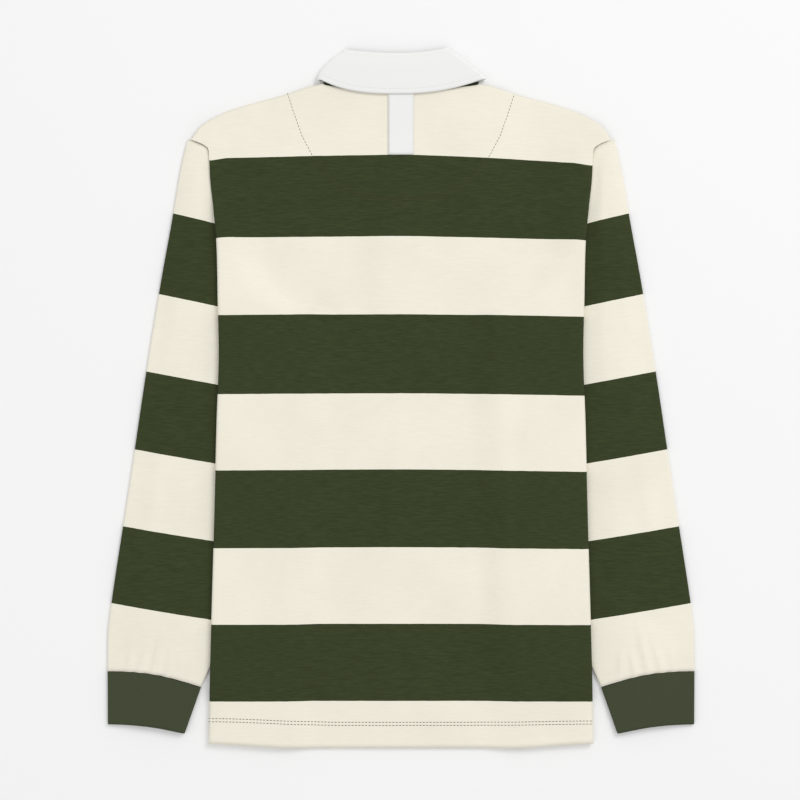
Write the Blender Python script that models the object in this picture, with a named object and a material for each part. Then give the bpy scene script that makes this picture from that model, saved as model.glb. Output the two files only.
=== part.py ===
"""A rugby shirt laid flat on its front, back up, with its sides turned under and its sleeves brought
down beside the body. It holds the pieces that a maker cuts and sews: back, front, two sleeves, two
ribbed cuffs, collar leaf, collar stand, back tape, placket and three buttons.

Metres, +Z up, +Y towards the collar. A "half" is a distance from the centre line, and a "drop" is a
distance down the shirt from the high point of the shoulder. Every wall is drawn down its middle and
thickened. From the table up at the sides lie: sleeve, sleeve, turned back, turned front, front, back.
"""

import collections
import math

import bmesh
import bpy
from mathutils import Vector

# Cloth
CLOTH = 0.0014  # a jersey wall
RIB = 0.0016  # a cuff's ribbed wall
STRIP = 0.0009  # the woven tape and placket
LAYER = 0.0019  # a jersey wall and the gap over it
SEAM = 0.0003  # the gap between pieces at a seam

# The body's cut
CUT_HALF = 0.278  # half of the cut width of the back, and of the front
HEM_DROP = 0.705
HEM_ROUND = 0.005  # the hem rises this much at the sides
COLLAR_TOP = -0.0365  # the collar's fold, above the shoulder point
CENTRE_DROP = (HEM_DROP + COLLAR_TOP) / 2
NECK_HALF = 0.083
BACK_NECK = 0.006
FRONT_NECK = 0.080
SHOULDER_TIP = 0.0588

# The armhole and the turned-under sides
ARM_TOP, ARM_MID, UNDERARM = 0.075, 0.185, 0.250
ARM_CURVE = 0.170  # the armhole starts to curve out to the underarm here
FOLD_RADIUS = 1.5 * LAYER
FOLD_LEAST = 0.0025
TUCK_LEAST = 0.0015
RAMP = 0.045  # the panels slope down over this width beside the turned layers
RAMP_AHEAD = 0.007  # the panels are lifted this far up the shirt from where those layers start
FRONT_SHORT = 0.007  # the front stops this far inside the back beside the shoulder
SLEEVE_UNDER_BACK = 0.0025
SLEEVE_UNDER_FRONT = 0.0075
SLEEVE_END, HEM_FLAT = 0.622, 0.662  # the sides come down to the table between these drops

# What the front lies over
COLLAR_REACH, COLLAR_FADE = 0.100, 0.140
PLACKET_HALF, PLACKET_FADE = 0.016, 0.045
PLACKET_TOP, PLACKET_END = 0.083, 0.235
PLACKET_RISE = 0.0032
BUTTON_RADIUS, BUTTON_THICK = 0.0062, 0.0016
BUTTON_DROPS = (0.104, 0.155, 0.206)
TAPE_HALF, TAPE_TOP, TAPE_END = 0.0148, 0.0095, 0.0769
SLEEVE_LOFT = 0.003  # the sleeves stand this much fuller beside the body
TURN_STEPS = 4

Edge = collections.namedtuple("Edge", "drop half")
BODY_EDGE = (
    Edge(0.0588, 0.2258),
    Edge(0.0610, 0.2200),
    Edge(0.0650, 0.2110),
    Edge(0.0690, 0.2055),
    Edge(0.0770, 0.2042),
    Edge(0.1030, 0.2025),
    Edge(0.1350, 0.1987),
    Edge(0.1670, 0.1956),
    Edge(0.2300, 0.1941),
    Edge(0.2900, 0.1930),
    Edge(0.3600, 0.1953),
    Edge(0.4530, 0.1975),
    Edge(0.5480, 0.2002),
    Edge(0.6440, 0.2028),
    Edge(0.7050, 0.2040),
)
SLEEVE_OUTER = (
    Edge(0.0588, 0.2258),
    Edge(0.0663, 0.2283),
    Edge(0.0780, 0.2312),
    Edge(0.1034, 0.2362),
    Edge(0.1460, 0.2432),
    Edge(0.2090, 0.2545),
    Edge(0.3150, 0.2717),
    Edge(0.4220, 0.2875),
    Edge(0.5270, 0.3038),
    Edge(0.5750, 0.3103),
    Edge(0.6000, 0.3113),
    Edge(0.6900, 0.3113),
)
SLEEVE_INNER = (
    Edge(0.2500, 0.1140),
    Edge(0.3000, 0.1210),
    Edge(0.3600, 0.1310),
    Edge(0.4300, 0.1440),
    Edge(0.5000, 0.1600),
    Edge(0.5600, 0.1780),
    Edge(0.6000, 0.1935),
    Edge(0.6185, 0.2020),
    Edge(0.6402, 0.2125),
)
Shoulder = collections.namedtuple("Shoulder", "half drop")
SHOULDER = (
    Shoulder(0.0830, 0.0010),
    Shoulder(0.0900, 0.0025),
    Shoulder(0.1040, 0.0060),
    Shoulder(0.1230, 0.0122),
    Shoulder(0.1530, 0.0200),
    Shoulder(0.1765, 0.0265),
    Shoulder(0.1940, 0.0328),
    Shoulder(0.2060, 0.0388),
    Shoulder(0.2150, 0.0445),
    Shoulder(0.2215, 0.0505),
    Shoulder(0.2258, 0.0588),
)
# A row of the panels keeps "flat" of a straight course at "drop", and the rest of the shoulder's slope.
Course = collections.namedtuple("Course", "drop flat")
COURSES = (
    Course(0.085, 0.00),
    Course(0.085, 0.18),
    Course(0.095, 0.40),
    Course(0.110, 0.65),
    Course(0.130, 0.85),
    Course(0.150, 1.00),
    Course(0.185, 1.00),
    Course(0.210, 1.00),
    Course(0.228, 1.00),
    Course(0.240, 1.00),
    Course(0.2465, 1.00),
    Course(0.250, 1.00),
    Course(0.262, 1.00),
    Course(0.360, 1.00),
    Course(0.470, 1.00),
    Course(0.580, 1.00),
    Course(0.622, 1.00),
    Course(0.662, 1.00),
    Course(0.705, 1.00),
)
NECK_SHARES = (0.0, 0.24, 0.536, 0.778, 0.904, 1.0)
SIDE_SHARES = (0.06, 0.18, 0.29, 0.51, 0.76, 1.0)
# A sleeve's rows below the armhole run square to it, from the outer edge down to the inner one.
Row = collections.namedtuple("Row", "drop slope")
SLEEVE_ROWS = (
    Row(0.2280, 0.215),
    Row(0.2900, 0.195),
    Row(0.3600, 0.180),
    Row(0.4300, 0.172),
    Row(0.5000, 0.163),
    Row(0.5600, 0.160),
    Row(0.6000, 0.163),
    Row(0.6238, 0.167),
)
ARMHOLE_DROPS = (0.250, 0.2465, 0.240, 0.228, 0.210, 0.185, 0.160, 0.135, 0.110, 0.090, 0.074, 0.066, 0.0605)
CAP_SHARES = (0.0, 0.2, 0.45, 0.72)
CUFF_TOP, CUFF_BOTTOM = (0.3113, 0.6238, 0.2125, 0.6402), (0.3110, 0.6800, 0.2305, 0.6890)
# The collar turns round the neck at its sides: its fold line and its outer edge there.
Turn = collections.namedtuple("Turn", "side roll_half roll_drop edge_half edge_drop")
LEFT_TURN = Turn(-1, 0.0640, -0.0325, 0.0885, -0.0010)
RIGHT_TURN = Turn(1, 0.0520, COLLAR_TOP, 0.0900, -0.0035)
ROLL_MIDDLE, EDGE_MIDDLE = -0.0300, 0.0120
ROLL_FRONT, POINT_HALF, POINT_DROP, POINT_BULGE = 0.0660, 0.052, 0.098, (0.096, 0.045)
LEAF_ROWS = (0.0, 0.33, 0.67, 1.0)

TABLE_LEVEL = CLOTH / 2
NECK_LEVEL = TABLE_LEVEL + 2 * LAYER  # the back at the neck, over the front and the collar's points
LEAF_LEVEL = NECK_LEVEL + CLOTH + 2 * SEAM + STRIP


def ease(start, end, at):
    """0 before start, 1 after end, and a smooth step between them."""
    share = min(1.0, max(0.0, (at - start) / (end - start)))
    return share * share * (3 - 2 * share)


def mix(a, b, share):
    return a + (b - a) * share


def read(rows, at):
    """The second column where the first is at, on a smooth curve through the rows."""
    if not rows[0][0] < at < rows[-1][0]:
        return rows[0][1] if at <= rows[0][0] else rows[-1][1]
    last = len(rows) - 1
    i = next(k for k in range(last) if at <= rows[k + 1][0])

    def slope(k):
        before, after = rows[max(k - 1, 0)], rows[min(k + 1, last)]
        return (after[1] - before[1]) / (after[0] - before[0])

    width = rows[i + 1][0] - rows[i][0]
    t = (at - rows[i][0]) / width
    bend = t * (1 - t) * width * (slope(i) * (1 - t) - slope(i + 1) * t)
    return mix(rows[i][1], rows[i + 1][1], ease(0, 1, t)) + bend


def point(half, drop, height):
    return Vector((half, CENTRE_DROP - drop, height))


# How the sides turn under


def fold_angle(drop):
    """How far round the cloth turns at the side: nothing at the shoulder, half a turn below the arm."""
    return math.pi * ease(ARM_TOP, ARM_MID, drop)


def fold_length(drop):
    return max(FOLD_LEAST, FOLD_RADIUS * fold_angle(drop))


def tuck(drop):
    """The flat cloth after the fold: it grows round the armhole and is even below the arm."""
    edge = read(BODY_EDGE, max(drop, UNDERARM)) - CLOTH / 2 - FOLD_RADIUS
    full = CUT_HALF - edge - math.pi * FOLD_RADIUS
    share = min(1.0, max(0.0, (drop - ARM_CURVE) / (UNDERARM - ARM_CURVE)))
    return TUCK_LEAST + (full - TUCK_LEAST) * (1 - math.sqrt(1 - share * share))


def bend(length, angle, share):
    """(out, down) after a share of a bend of that length and angle."""
    if angle < 1e-6:
        return length * share, 0.0
    radius, turned = length / angle, angle * share
    return radius * math.sin(turned), radius * (1 - math.cos(turned))


def fold_start(drop):
    """The half width where the back starts to turn, so that the fold's outside lies on the body's edge."""
    angle, length = fold_angle(drop), fold_length(drop)
    reach = bend(length, angle, min(1.0, math.pi / 2 / max(angle, 1e-9)))[0]
    reach += TUCK_LEAST * max(0.0, math.cos(angle))
    return read(BODY_EDGE, drop) - CLOTH / 2 - reach


def turned_edge(drop):
    """The half width where the turned-under cloth ends: the armhole seam, and the side seam below it."""
    if fold_angle(drop) < math.pi:
        return fold_start(drop)
    return fold_start(drop) - tuck(drop)


def edge_rise(drop):
    """How far the front is lifted at the side by the layers under it."""
    angle = fold_angle(drop)
    dip = bend(fold_length(drop), angle, 1)[1] + TUCK_LEAST * math.sin(angle)
    return LAYER + dip - 2 * LAYER * ease(SLEEVE_END, HEM_FLAT, drop)


def level(half, drop, layer):
    """The middle height of the front, layer 0, or the back, layer 1, between the folds."""
    half, seam = abs(half), turned_edge(drop if drop < ARM_MID else drop + RAMP_AHEAD)
    side = edge_rise(drop) * ease(seam - RAMP, seam - 2 * LAYER, half)
    reach = ease(COLLAR_FADE, COLLAR_REACH, half) * ease(COLLAR_FADE, COLLAR_REACH, drop)
    placket = ease(PLACKET_FADE, PLACKET_HALF, half) * ease(0.03, 0.075, drop) * ease(0.275, 0.240, drop)
    return TABLE_LEVEL + layer * LAYER + max(side, LAYER * reach, PLACKET_RISE * placket)


def top_edge(half, neck):
    """The drop of a panel's top edge: the neck's curve, then the shoulder seam."""
    if abs(half) >= NECK_HALF:
        return read(SHOULDER, abs(half))
    return SHOULDER[0].drop + (neck - SHOULDER[0].drop) * math.sqrt(1 - (half / NECK_HALF) ** 2)


def panel_row(course, neck, layer):
    """One course of the back or the front, from the left seam to the right one."""
    side_drop = mix(SHOULDER_TIP, course.drop, course.flat)
    start = fold_start(side_drop)
    angle = fold_angle(side_drop)
    length = fold_length(side_drop)
    half_row = []
    for share in [share - 1 for share in NECK_SHARES] + list(SIDE_SHARES):
        inner, outer = NECK_HALF * min(1, share + 1), max(0, share)
        drop = mix(top_edge(mix(inner, SHOULDER[-1].half, outer), neck), course.drop, course.flat)
        if course is COURSES[-1]:
            drop -= HEM_ROUND * ease(0.2, 1.1, outer)
        half = mix(inner, start, outer)
        half_row.append((half, drop, level(half, drop, layer)))
    if layer == 0:
        short = FRONT_SHORT * ease(ARM_MID, (ARM_TOP + ARM_MID) / 2, side_drop)
        share = short / (half_row[-1][0] - half_row[-2][0])
        half_row[-1] = tuple(mix(a, b, share) for a, b in zip(half_row[-1], half_row[-2]))
        start = half_row[-1][0]
        length -= LAYER * angle
    last_drop, last_level = half_row[-1][1:]
    for step in range(1, TURN_STEPS + 1):
        out, down = bend(length, angle, step / TURN_STEPS)
        half_row.append((start + out, last_drop, last_level - down))
    end_half, _, end_level = half_row[-1]
    flat = tuck(side_drop)
    for share in (0.5, 1.0):
        out, down = flat * share * math.cos(angle), flat * share * math.sin(angle)
        half_row.append((end_half + out, last_drop, end_level - down))
    left = [point(-half, drop, height) for half, drop, height in reversed(half_row[1:])]
    return left + [point(*place) for place in half_row]


# Flattened tubes


def ring(high, low):
    """Points round a flattened tube: along its upper side, round one edge, back and round the other."""
    across = (high[-1] - high[0]).xy.to_3d().normalized()

    def turn(upper, lower, out):
        middle, radius = (upper + lower) / 2, (upper.z - lower.z) / 2
        angles = [math.radians(a) for a in (45, 0, -45)]
        return [middle + out * radius * math.cos(a) + Vector((0, 0, radius * math.sin(a))) for a in angles]

    outer = turn(high[-1], low[-1], across)
    inner = turn(high[0], low[0], -across)
    return high + outer + low[::-1] + inner[::-1] + [high[0]]


def sleeve_loft(half, drop):
    """How much fuller the sleeve's upper side stands where it lies beside the body."""
    near, far = read(BODY_EDGE, drop) + 0.003, read(SLEEVE_OUTER, drop) - 0.003
    wide = max(far - near, 1e-6)
    share = (half - near) / wide
    return min(SLEEVE_LOFT, 0.1 * wide) * ease(0, 0.35, share) * ease(1, 0.65, share)


def sleeve_ring(pairs, wall, gap):
    """A ring through (half, drop) pairs of its upper and lower side, inner edge first."""
    low_level = wall / 2
    high_level = low_level + wall + gap
    high = [point(*upper, high_level + sleeve_loft(*upper)) for upper, _ in pairs]
    low = [point(*lower, low_level) for _, lower in pairs]
    return ring(high, low)


def sleeve_row(row):
    """(half, drop) pairs across the sleeve at a row square to it."""
    steps = len(ARMHOLE_DROPS) - 1
    inset = CLOTH / 2 + LAYER / 2
    outer = read(SLEEVE_OUTER, row.drop) - inset
    inner_drop = row.drop
    for _ in range(4):  # the inner end lies lower by the slope, on the inner edge
        inner = read(SLEEVE_INNER, inner_drop) + inset
        inner_drop = row.drop + row.slope * (outer - inner)
    return [(mix(inner, outer, k / steps), mix(inner_drop, row.drop, k / steps)) for k in range(steps + 1)]


def armhole_pairs():
    """(half, drop) pairs of the sleeve's upper and lower side along the armhole, underarm first."""
    last = len(ARMHOLE_DROPS) - 1
    pairs = []
    for k, drop in enumerate(ARMHOLE_DROPS):
        held = min(1.0, 3 * math.sin(math.pi * k / last))  # both sides meet at the underarm and the tip
        seam = turned_edge(drop) if drop >= ARM_MID else read(BODY_EDGE, drop) - CLOTH / 2
        if k == last:
            seam = read(SLEEVE_OUTER, drop) - CLOTH / 2 - LAYER / 2
        pairs.append(
            (
                (seam - SLEEVE_UNDER_BACK * held, drop),
                (seam - SLEEVE_UNDER_FRONT * held, drop),
            )
        )
    return pairs


def sleeve_rings():
    """The right sleeve's rings, from the armhole to the cuff."""
    armhole = armhole_pairs()
    first = sleeve_row(SLEEVE_ROWS[0])
    steps = len(first) - 1
    rings = []
    for share in CAP_SHARES:
        pairs = []
        for k, (upper, lower) in enumerate(armhole):
            sides = [tuple(mix(a, b, share) for a, b in zip(side, first[k])) for side in (upper, lower)]
            drop = mix(armhole[-1][0][1], first[-1][1], share)
            bulge = read(SLEEVE_OUTER, drop) - CLOTH / 2 - LAYER / 2 - mix(armhole[-1][0][0], first[-1][0], share)
            pairs.append([(half + bulge * (k / steps) ** 3, at) for half, at in sides])
        rings.append(sleeve_ring(pairs, CLOTH, LAYER - CLOTH))
    for row in SLEEVE_ROWS:
        rings.append(sleeve_ring([(at, at) for at in sleeve_row(row)], CLOTH, LAYER - CLOTH))
    return rings


def cuff_rings():
    """The right cuff's rings. It starts a seam's gap below the sleeve."""
    inset = RIB / 2 + LAYER / 2
    rings = []
    for share in (0.0, 0.33, 0.67, 1.0):
        outer, outer_drop, inner, inner_drop = (mix(a, b, share) for a, b in zip(CUFF_TOP, CUFF_BOTTOM))
        down = SEAM if share == 0 else 0
        ends = ((inner + inset, inner_drop + down), (outer - inset, outer_drop + down))
        pairs = [tuple(mix(a, b, k / 5) for a, b in zip(*ends)) for k in range(6)]
        rings.append(sleeve_ring([(at, at) for at in pairs], RIB, LAYER - CLOTH))
    return rings


# The collar


def collar_row(left, right, middle_drop, levels, front):
    """Points round the collar from the left front, under the shirt, over the back to the right front.

    left and right are (half, drop) at the turns, levels are (low, high), and front(side, share) gives
    the (half, drop) under the shirt, from the turn at 0 to the centre front at 1.
    """
    low, high = levels
    middle, radius = (low + high) / 2, (high - low) / 2

    def under(side):
        return [point(side * half, drop, low) for half, drop in (front(side, share) for share in NECK_SHARES[::-1])]

    def turn(side, half, drop):
        angles = (math.pi * k / TURN_STEPS - math.pi / 2 for k in range(1, TURN_STEPS))
        return [point(side * (half + radius * math.cos(a)), drop, middle + radius * math.sin(a)) for a in angles]

    def over():
        made = []
        for k in range(-5, 6):
            side_half, side_drop = right if k > 0 else left
            share = k / 5
            made.append(point(share * side_half, mix(middle_drop, side_drop, share * share), high))
        return made

    left_side = under(-1)[::-1] + turn(-1, *left)
    right_side = turn(1, *right)[::-1] + under(1)
    return left_side + over() + right_side


def leaf_rows():
    """The collar's leaf, from its fold line out to its edge and points."""
    rows = []
    for share in LEAF_ROWS:
        high = mix(NECK_LEVEL + CLOTH + SEAM, LEAF_LEVEL, ease(0, 0.35, share))
        radius = (high - TABLE_LEVEL) / 2
        ends = {}
        for turn in (LEFT_TURN, RIGHT_TURN):
            half = mix(turn.roll_half, turn.edge_half, share) - radius - CLOTH / 2
            ends[turn.side] = (half, mix(turn.roll_drop, turn.edge_drop, share))

        def front(side, neck_share, share=share, ends=ends):
            along = 1 - neck_share
            half, drop = ends[side]
            roll = (half * neck_share + 0.004 * along, mix(drop, ROLL_FRONT, math.sqrt(1 - neck_share**2)))
            bulge, middle = POINT_BULGE
            edge = (
                neck_share**2 * half + 2 * along * neck_share * bulge + along**2 * POINT_HALF,
                neck_share**2 * drop + 2 * along * neck_share * middle + along**2 * POINT_DROP,
            )
            return mix(roll[0], edge[0], share), mix(roll[1], edge[1], share)

        middle = mix(ROLL_MIDDLE, EDGE_MIDDLE, share)
        rows.append(collar_row(ends[-1], ends[1], middle, (TABLE_LEVEL, high), front))
    return rows


def stand_rows():
    """The collar's stand, from the neck seam up to the fold line."""
    low, high = TABLE_LEVEL + LAYER, NECK_LEVEL
    inset = LAYER / 2 + CLOTH / 2
    gap = 0.0008
    rows = []
    for share in (0.0, 0.5, 1.0):
        ends = {}
        for turn in (LEFT_TURN, RIGHT_TURN):
            roll_half = turn.roll_half - 3 * LAYER - inset
            half = mix(NECK_HALF - gap - LAYER / 2, roll_half, share)
            ends[turn.side] = (half, mix(SHOULDER[0].drop - gap, turn.roll_drop + 0.001, share))

        def front(side, neck_share, share=share, ends=ends):
            half, drop = ends[side]
            lowest = mix(FRONT_NECK - gap, ROLL_FRONT - 0.002, share)
            at = max(half * neck_share, 0.004)
            return at, mix(drop, lowest, math.sqrt(1 - neck_share**2))

        middle = mix(BACK_NECK - gap, ROLL_MIDDLE + 0.001, share)
        rows.append(collar_row(ends[-1], ends[1], middle, (low, high), front))
    return rows


# Strips and buttons that lie on a panel


def strip_rows(panel, start, end, half, lift):
    """Rows of a strip between two drops, made from a panel's points down its centre and moved off it."""
    centre = [row[len(row) // 2] for row in panel]
    drops = [CENTRE_DROP - at.y for at in centre]

    def at(drop):
        k = next(k for k in range(len(drops) - 1) if drop <= drops[k + 1])
        share = (drop - drops[k]) / (drops[k + 1] - drops[k])
        return centre[k].lerp(centre[k + 1], share)

    kept = [start] + [drop for drop in drops if start + SEAM < drop < end - SEAM] + [end]
    return [[at(drop) + Vector((side * half, 0, lift)) for side in (-1, -0.5, 0, 0.5, 1)] for drop in kept]


# Objects


def material(name, colour, roughness):
    made = bpy.data.materials.new(name)
    made.use_nodes = True
    shader = made.node_tree.nodes["Principled BSDF"]
    shader.inputs["Base Color"].default_value = (*colour, 1)
    shader.inputs["Roughness"].default_value = roughness
    return made


def add_object(name, bm, finish, parent):
    mesh = bpy.data.meshes.new(name)
    bm.to_mesh(mesh)
    bm.free()
    mesh.materials.append(finish)
    made = bpy.data.objects.new(name, mesh)
    made.parent = parent
    bpy.context.scene.collection.objects.link(made)
    return made


def cloth(name, rows, wall, finish, parent):
    """A wall of cloth through rows of points down its middle. A row that ends where it starts is a tube."""
    across, along = len(rows[0]) - 1, len(rows) - 1
    bm = bmesh.new()
    bmesh.ops.create_grid(bm, x_segments=across, y_segments=along, size=1)
    for vert in bm.verts:
        column = round((vert.co.x + 1) / 2 * across)
        row = round((1 - vert.co.y) / 2 * along)
        vert.co = rows[row][column]
    bmesh.ops.remove_doubles(bm, verts=bm.verts, dist=1e-6)
    made = add_object(name, bm, finish, parent)
    wall_modifier = made.modifiers.new("Wall", "SOLIDIFY")
    wall_modifier.thickness = wall
    wall_modifier.offset = 0
    wall_modifier.use_even_offset = True
    return made


def mirrored(rows):
    return [[Vector((-at.x, at.y, at.z)) for at in reversed(row)] for row in rows]


def button(name, drop, finish, parent):
    """A flat rubber button on the placket, resting on the table."""
    bm = bmesh.new()
    bmesh.ops.create_cone(
        bm, cap_ends=True, segments=24, radius1=BUTTON_RADIUS, radius2=BUTTON_RADIUS, depth=BUTTON_THICK
    )
    rim = [edge for edge in bm.edges if abs(edge.verts[0].co.z - edge.verts[1].co.z) < 1e-6]
    bmesh.ops.bevel(bm, geom=rim, offset=0.0004, segments=1, profile=0.5, affect="EDGES", material=-1)
    made = add_object(name, bm, finish, parent)
    made.location = point(0, drop, BUTTON_THICK / 2)
    return made


def build():
    for old in list(bpy.data.objects):
        bpy.data.objects.remove(old)
    shirt = bpy.data.objects.new("shirt", None)
    bpy.context.scene.collection.objects.link(shirt)
    jersey = material("Striped jersey", (0.83, 0.80, 0.69), 0.9)
    rib = material("Green rib", (0.055, 0.068, 0.045), 0.9)
    twill = material("White twill", (0.88, 0.88, 0.87), 0.8)
    green = material("Green jersey", (0.040, 0.055, 0.021), 0.9)
    rubber = material("White rubber", (0.80, 0.80, 0.78), 0.5)

    back = [panel_row(course, BACK_NECK, 1) for course in COURSES]
    front = [panel_row(course, FRONT_NECK, 0) for course in COURSES]
    cloth("back", back, CLOTH, jersey, shirt)
    cloth("front", front, CLOTH, jersey, shirt)
    sleeve, cuff = sleeve_rings(), cuff_rings()
    cloth("sleeve_right", sleeve, CLOTH, jersey, shirt)
    cloth("sleeve_left", mirrored(sleeve), CLOTH, jersey, shirt)
    cloth("cuff_right", cuff, RIB, rib, shirt)
    cloth("cuff_left", mirrored(cuff), RIB, rib, shirt)
    cloth("collar_leaf", leaf_rows(), CLOTH, twill, shirt)
    cloth("collar_stand", stand_rows(), CLOTH, green, shirt)

    lift = CLOTH / 2 + SEAM + STRIP / 2
    tape = strip_rows(back, TAPE_TOP, TAPE_END, TAPE_HALF, lift)
    cloth("back_tape", tape, STRIP, twill, shirt)
    cloth("placket", strip_rows(front, PLACKET_TOP, PLACKET_END, PLACKET_HALF, -lift), STRIP, twill, shirt)
    for count, drop in enumerate(BUTTON_DROPS, 1):
        button(f"button_{count}", drop, rubber, shirt)


build()
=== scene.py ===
# %% [markdown]
# # A rugby shirt laid flat, back up
# The shirt is cotton jersey, a soft knit, in broad cream and dark-green hoops. It lies on its front with its
# sides turned under and its sleeves brought down beside it. The CAD model is loaded first as a fixed
# frame, and each cloth piece is then made again on that frame, finer and with its folds.

# %% Load the frame
import collections
import math

import bmesh
import bpy
from mathutils import Matrix, Vector
from mathutils.bvhtree import BVHTree


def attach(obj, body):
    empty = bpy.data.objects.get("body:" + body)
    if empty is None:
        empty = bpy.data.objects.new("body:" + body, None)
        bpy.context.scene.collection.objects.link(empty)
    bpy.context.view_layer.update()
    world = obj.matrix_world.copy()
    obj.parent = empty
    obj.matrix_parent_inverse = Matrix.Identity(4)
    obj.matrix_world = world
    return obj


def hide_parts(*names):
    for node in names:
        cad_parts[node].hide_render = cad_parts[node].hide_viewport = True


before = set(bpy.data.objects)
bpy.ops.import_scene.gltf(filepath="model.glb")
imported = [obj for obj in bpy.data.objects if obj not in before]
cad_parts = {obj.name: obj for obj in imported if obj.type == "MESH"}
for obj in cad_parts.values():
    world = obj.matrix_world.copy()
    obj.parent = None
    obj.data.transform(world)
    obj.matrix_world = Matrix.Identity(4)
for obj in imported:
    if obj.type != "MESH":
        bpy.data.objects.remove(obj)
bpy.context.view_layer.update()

# %% [markdown]
# ## Sizes
# A "half" is a distance from the centre line and a "drop" is a distance down the shirt from the high point
# of the shoulder, as a maker measures. Short tables of such pairs, read on a smooth curve, give each
# outline, so that one row can be changed to move one part of the edge.

# %% Name the sizes of the shirt
CLOTH, RIB, STRIP = 0.0014, 0.0016, 0.0009
LAYER = 0.0019
SEAM = 0.0003
CUT_HALF, HEM_DROP, COLLAR_TOP = 0.278, 0.705, -0.0365
CENTRE_DROP = (HEM_DROP + COLLAR_TOP) / 2
NECK_HALF, BACK_NECK, FRONT_NECK = 0.083, 0.006, 0.080
SHOULDER_TIP = 0.0588
ARM_TOP, ARM_MID, UNDERARM, ARM_CURVE = 0.075, 0.185, 0.250, 0.170
FOLD_RADIUS, FOLD_LEAST, TUCK_LEAST = 1.5 * LAYER, 0.0025, 0.0015
RAMP, RAMP_AHEAD = 0.045, 0.007
FRONT_SHORT, SLEEVE_UNDER_BACK, SLEEVE_UNDER_FRONT = 0.007, 0.0025, 0.0075
SLEEVE_END, HEM_FLAT = 0.622, 0.662
COLLAR_REACH, COLLAR_FADE = 0.100, 0.140
PLACKET_HALF, PLACKET_FADE, PLACKET_RISE = 0.016, 0.045, 0.0032
PLACKET_TOP, PLACKET_END = 0.083, 0.235
TAPE_HALF, TAPE_TOP, TAPE_END = 0.0136, 0.0095, 0.0762
SLEEVE_LOFT = 0.003
TABLE_LEVEL = CLOTH / 2
NECK_LEVEL = TABLE_LEVEL + 2 * LAYER
LEAF_LEVEL = NECK_LEVEL + CLOTH + 2 * SEAM + STRIP

Edge = collections.namedtuple("Edge", "drop half")
BODY_EDGE = (
    Edge(0.0588, 0.2258),
    Edge(0.0610, 0.2200),
    Edge(0.0650, 0.2110),
    Edge(0.0690, 0.2055),
    Edge(0.0770, 0.2042),
    Edge(0.1030, 0.2025),
    Edge(0.1350, 0.1987),
    Edge(0.1670, 0.1956),
    Edge(0.2300, 0.1941),
    Edge(0.2900, 0.1930),
    Edge(0.3600, 0.1953),
    Edge(0.4530, 0.1975),
    Edge(0.5480, 0.2002),
    Edge(0.6440, 0.2028),
    Edge(0.7050, 0.2040),
)
SLEEVE_OUTER = (
    Edge(0.0588, 0.2258),
    Edge(0.0663, 0.2283),
    Edge(0.0780, 0.2312),
    Edge(0.1034, 0.2362),
    Edge(0.1460, 0.2432),
    Edge(0.2090, 0.2545),
    Edge(0.3150, 0.2717),
    Edge(0.4220, 0.2875),
    Edge(0.5270, 0.3038),
    Edge(0.5750, 0.3103),
    Edge(0.6000, 0.3113),
    Edge(0.6900, 0.3113),
)
SLEEVE_INNER = (
    Edge(0.2500, 0.1140),
    Edge(0.3000, 0.1210),
    Edge(0.3600, 0.1310),
    Edge(0.4300, 0.1440),
    Edge(0.5000, 0.1600),
    Edge(0.5600, 0.1780),
    Edge(0.6000, 0.1935),
    Edge(0.6185, 0.2020),
    Edge(0.6402, 0.2125),
)
Shoulder = collections.namedtuple("Shoulder", "half drop")
SHOULDER = (
    Shoulder(0.0830, 0.0010),
    Shoulder(0.0900, 0.0025),
    Shoulder(0.1040, 0.0060),
    Shoulder(0.1230, 0.0122),
    Shoulder(0.1530, 0.0200),
    Shoulder(0.1765, 0.0265),
    Shoulder(0.1940, 0.0328),
    Shoulder(0.2060, 0.0388),
    Shoulder(0.2150, 0.0445),
    Shoulder(0.2215, 0.0505),
    Shoulder(0.2258, 0.0588),
)
Course = collections.namedtuple("Course", "flat drop")
COURSE = (
    Course(0.00, 0.085),
    Course(0.18, 0.085),
    Course(0.40, 0.095),
    Course(0.65, 0.110),
    Course(0.85, 0.130),
    Course(1.00, 0.150),
)
Row = collections.namedtuple("Row", "drop slope")
SLEEVE_ROWS = (
    Row(0.2280, 0.215),
    Row(0.2900, 0.195),
    Row(0.3600, 0.180),
    Row(0.4300, 0.172),
    Row(0.5000, 0.163),
    Row(0.5600, 0.160),
    Row(0.6000, 0.163),
    Row(0.6238, 0.167),
)
CUFF_TOP, CUFF_BOTTOM = (0.3113, 0.6238, 0.2125, 0.6402), (0.3110, 0.6800, 0.2305, 0.6890)
print("length", HEM_DROP, "shoulder width", 2 * SHOULDER[-1].half)

# %% [markdown]
# ## Reading the tables
# These small helpers give a smooth step, a mix of two numbers and a smooth curve through a table.

# %% Write the curve helpers


def ease(start, end, at):
    """0 before start, 1 after end, and a smooth step between them."""
    share = min(1.0, max(0.0, (at - start) / (end - start)))
    return share * share * (3 - 2 * share)


def mix(a, b, share):
    return a + (b - a) * share


def read(rows, at):
    """The second column where the first is at, on a smooth curve through the rows."""
    if not rows[0][0] < at < rows[-1][0]:
        return rows[0][1] if at <= rows[0][0] else rows[-1][1]
    last = len(rows) - 1
    i = next(k for k in range(last) if at <= rows[k + 1][0])

    def slope(k):
        before, after = rows[max(k - 1, 0)], rows[min(k + 1, last)]
        return (after[1] - before[1]) / (after[0] - before[0])

    width = rows[i + 1][0] - rows[i][0]
    t = (at - rows[i][0]) / width
    bend_here = t * (1 - t) * width * (slope(i) * (1 - t) - slope(i + 1) * t)
    return mix(rows[i][1], rows[i + 1][1], ease(0, 1, t)) + bend_here


def point(half, drop, height):
    return Vector((half, CENTRE_DROP - drop, height))


def spaced(start, end, steps):
    return [mix(start, end, k / steps) for k in range(steps + 1)]


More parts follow.
